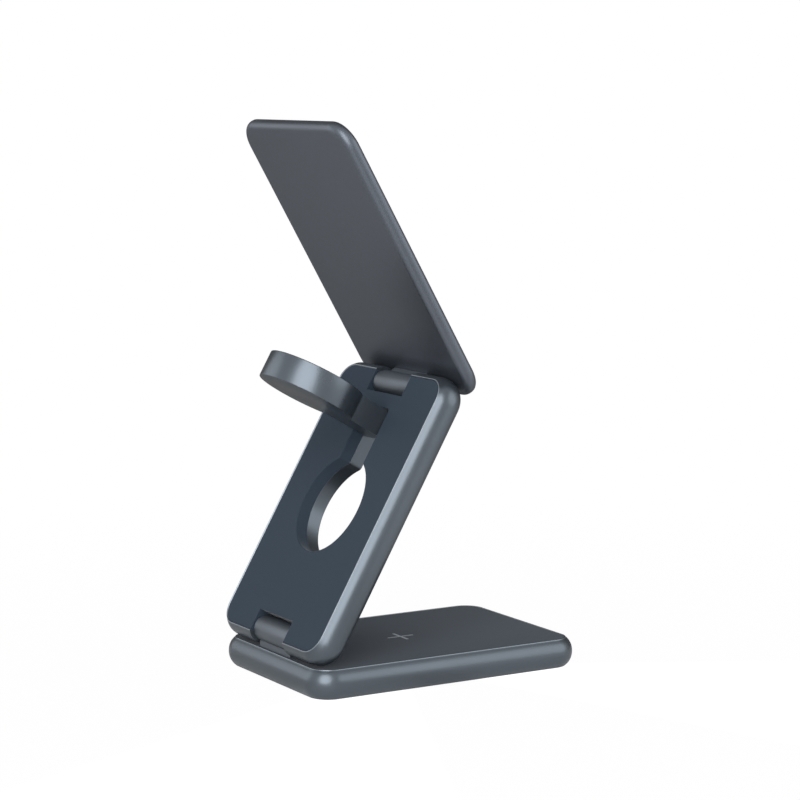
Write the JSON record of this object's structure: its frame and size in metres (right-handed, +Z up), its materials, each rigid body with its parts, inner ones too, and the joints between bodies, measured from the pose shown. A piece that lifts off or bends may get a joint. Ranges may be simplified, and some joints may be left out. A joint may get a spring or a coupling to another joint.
{
  "type": "three in one wireless charger",
  "caption": "Folding wireless charger: flat earbud pad, leaning plate with a keyhole, swing-out watch puck and tilted phone plate.",
  "frame": {"origin": "centre of the foot pad's underside, on the table", "axes": "+Z up; +X along the base from the hinge end to the socket end, which the phone's face looks towards; +Y across, so the object's left seen from the front"},
  "size_m": [0.1004, 0.067, 0.1798],
  "materials": {
    "plate_metal": "bead-blasted and anodised blue-grey, satin",
    "phone_shell_metal": "bead-blasted and anodised blue-grey, satin",
    "puck_metal": "turned and anodised, fine axial satin sheen",
    "hinge_metal": "die-cast, blasted and coated dark grey",
    "soft_panel": "soft-touch moulded skin, dark blue-grey",
    "foot_rubber": "matt silicone rubber",
    "charging_face": "smooth satin plastic",
    "shaft_steel": "ground steel",
    "screw_steel": "blackened steel",
    "socket_steel": "nickel-plated drawn steel",
    "socket_insulator": "glass-filled moulded plastic",
    "coil_wire": "enamelled copper wire, bonded flat",
    "ferrite": "pressed ferrite sheet, matt",
    "magnet_nickel": "nickel-plated magnet",
    "circuit_board": "solder-masked fibreglass laminate",
    "board_parts": "moulded component bodies",
    "flat_cable": "polyimide flat cable"
  },
  "bodies": {
    "base": {"base_frame": "plate_metal", "base_top_panel": "soft_panel", "base_foot_pad": "foot_rubber", "base_hinge_lug": "hinge_metal", "base_lug_screws": "screw_steel", "base_hinge_shafts": "shaft_steel", "earbud_coil": "coil_wire", "earbud_ferrite": "ferrite", "base_circuit_board": "circuit_board", "base_board_screws": "screw_steel", "base_board_parts": "board_parts", "usb_c_shell": "socket_steel", "usb_c_tongue": "socket_insulator"},
    "middle": {"middle_frame": "plate_metal", "middle_front_panel": "soft_panel", "lower_hinge_brackets": "hinge_metal", "lower_bracket_screws": "screw_steel", "upper_hinge_brackets": "hinge_metal", "upper_bracket_screws": "screw_steel", "watch_hinge_pin": "shaft_steel", "middle_flat_cable": "flat_cable", "watch_driver_board": "circuit_board", "watch_board_screws": "screw_steel", "watch_driver_parts": "board_parts"},
    "watch": {"watch_housing": "puck_metal", "watch_charging_face": "charging_face", "watch_coil": "coil_wire", "watch_ferrite": "ferrite", "watch_magnet": "magnet_nickel"},
    "upper": {"upper_shell": "phone_shell_metal", "phone_panel": "soft_panel", "top_hinge_lug": "hinge_metal", "top_lug_screws": "screw_steel", "top_hinge_shafts": "shaft_steel", "phone_ferrite": "ferrite", "phone_coil": "coil_wire", "phone_magnets": "magnet_nickel", "upper_circuit_board": "circuit_board", "upper_board_parts": "board_parts"}
  },
  "joints": [
    {"name": "base_hinge", "type": "hinge", "parent": "base", "child": "middle", "pos_m": [-0.0448, 0, 0.0156], "axis": [0, 1, 0], "range_deg": [-30, 59]},
    {"name": "top_hinge", "type": "hinge", "parent": "middle", "child": "upper", "pos_m": [0, 0, 0.0932], "axis": [0, -1, 0], "range_deg": [0, 120]},
    {"name": "watch_hinge", "type": "hinge", "parent": "middle", "child": "watch", "pos_m": [-0.0074, 0, 0.08038], "axis": [0, -1, 0], "range_deg": [0, 90]}
  ],
  "couplings": [
    {"joint": "watch_hinge", "follows": "top_hinge", "ratio": 0.75}
  ]
}
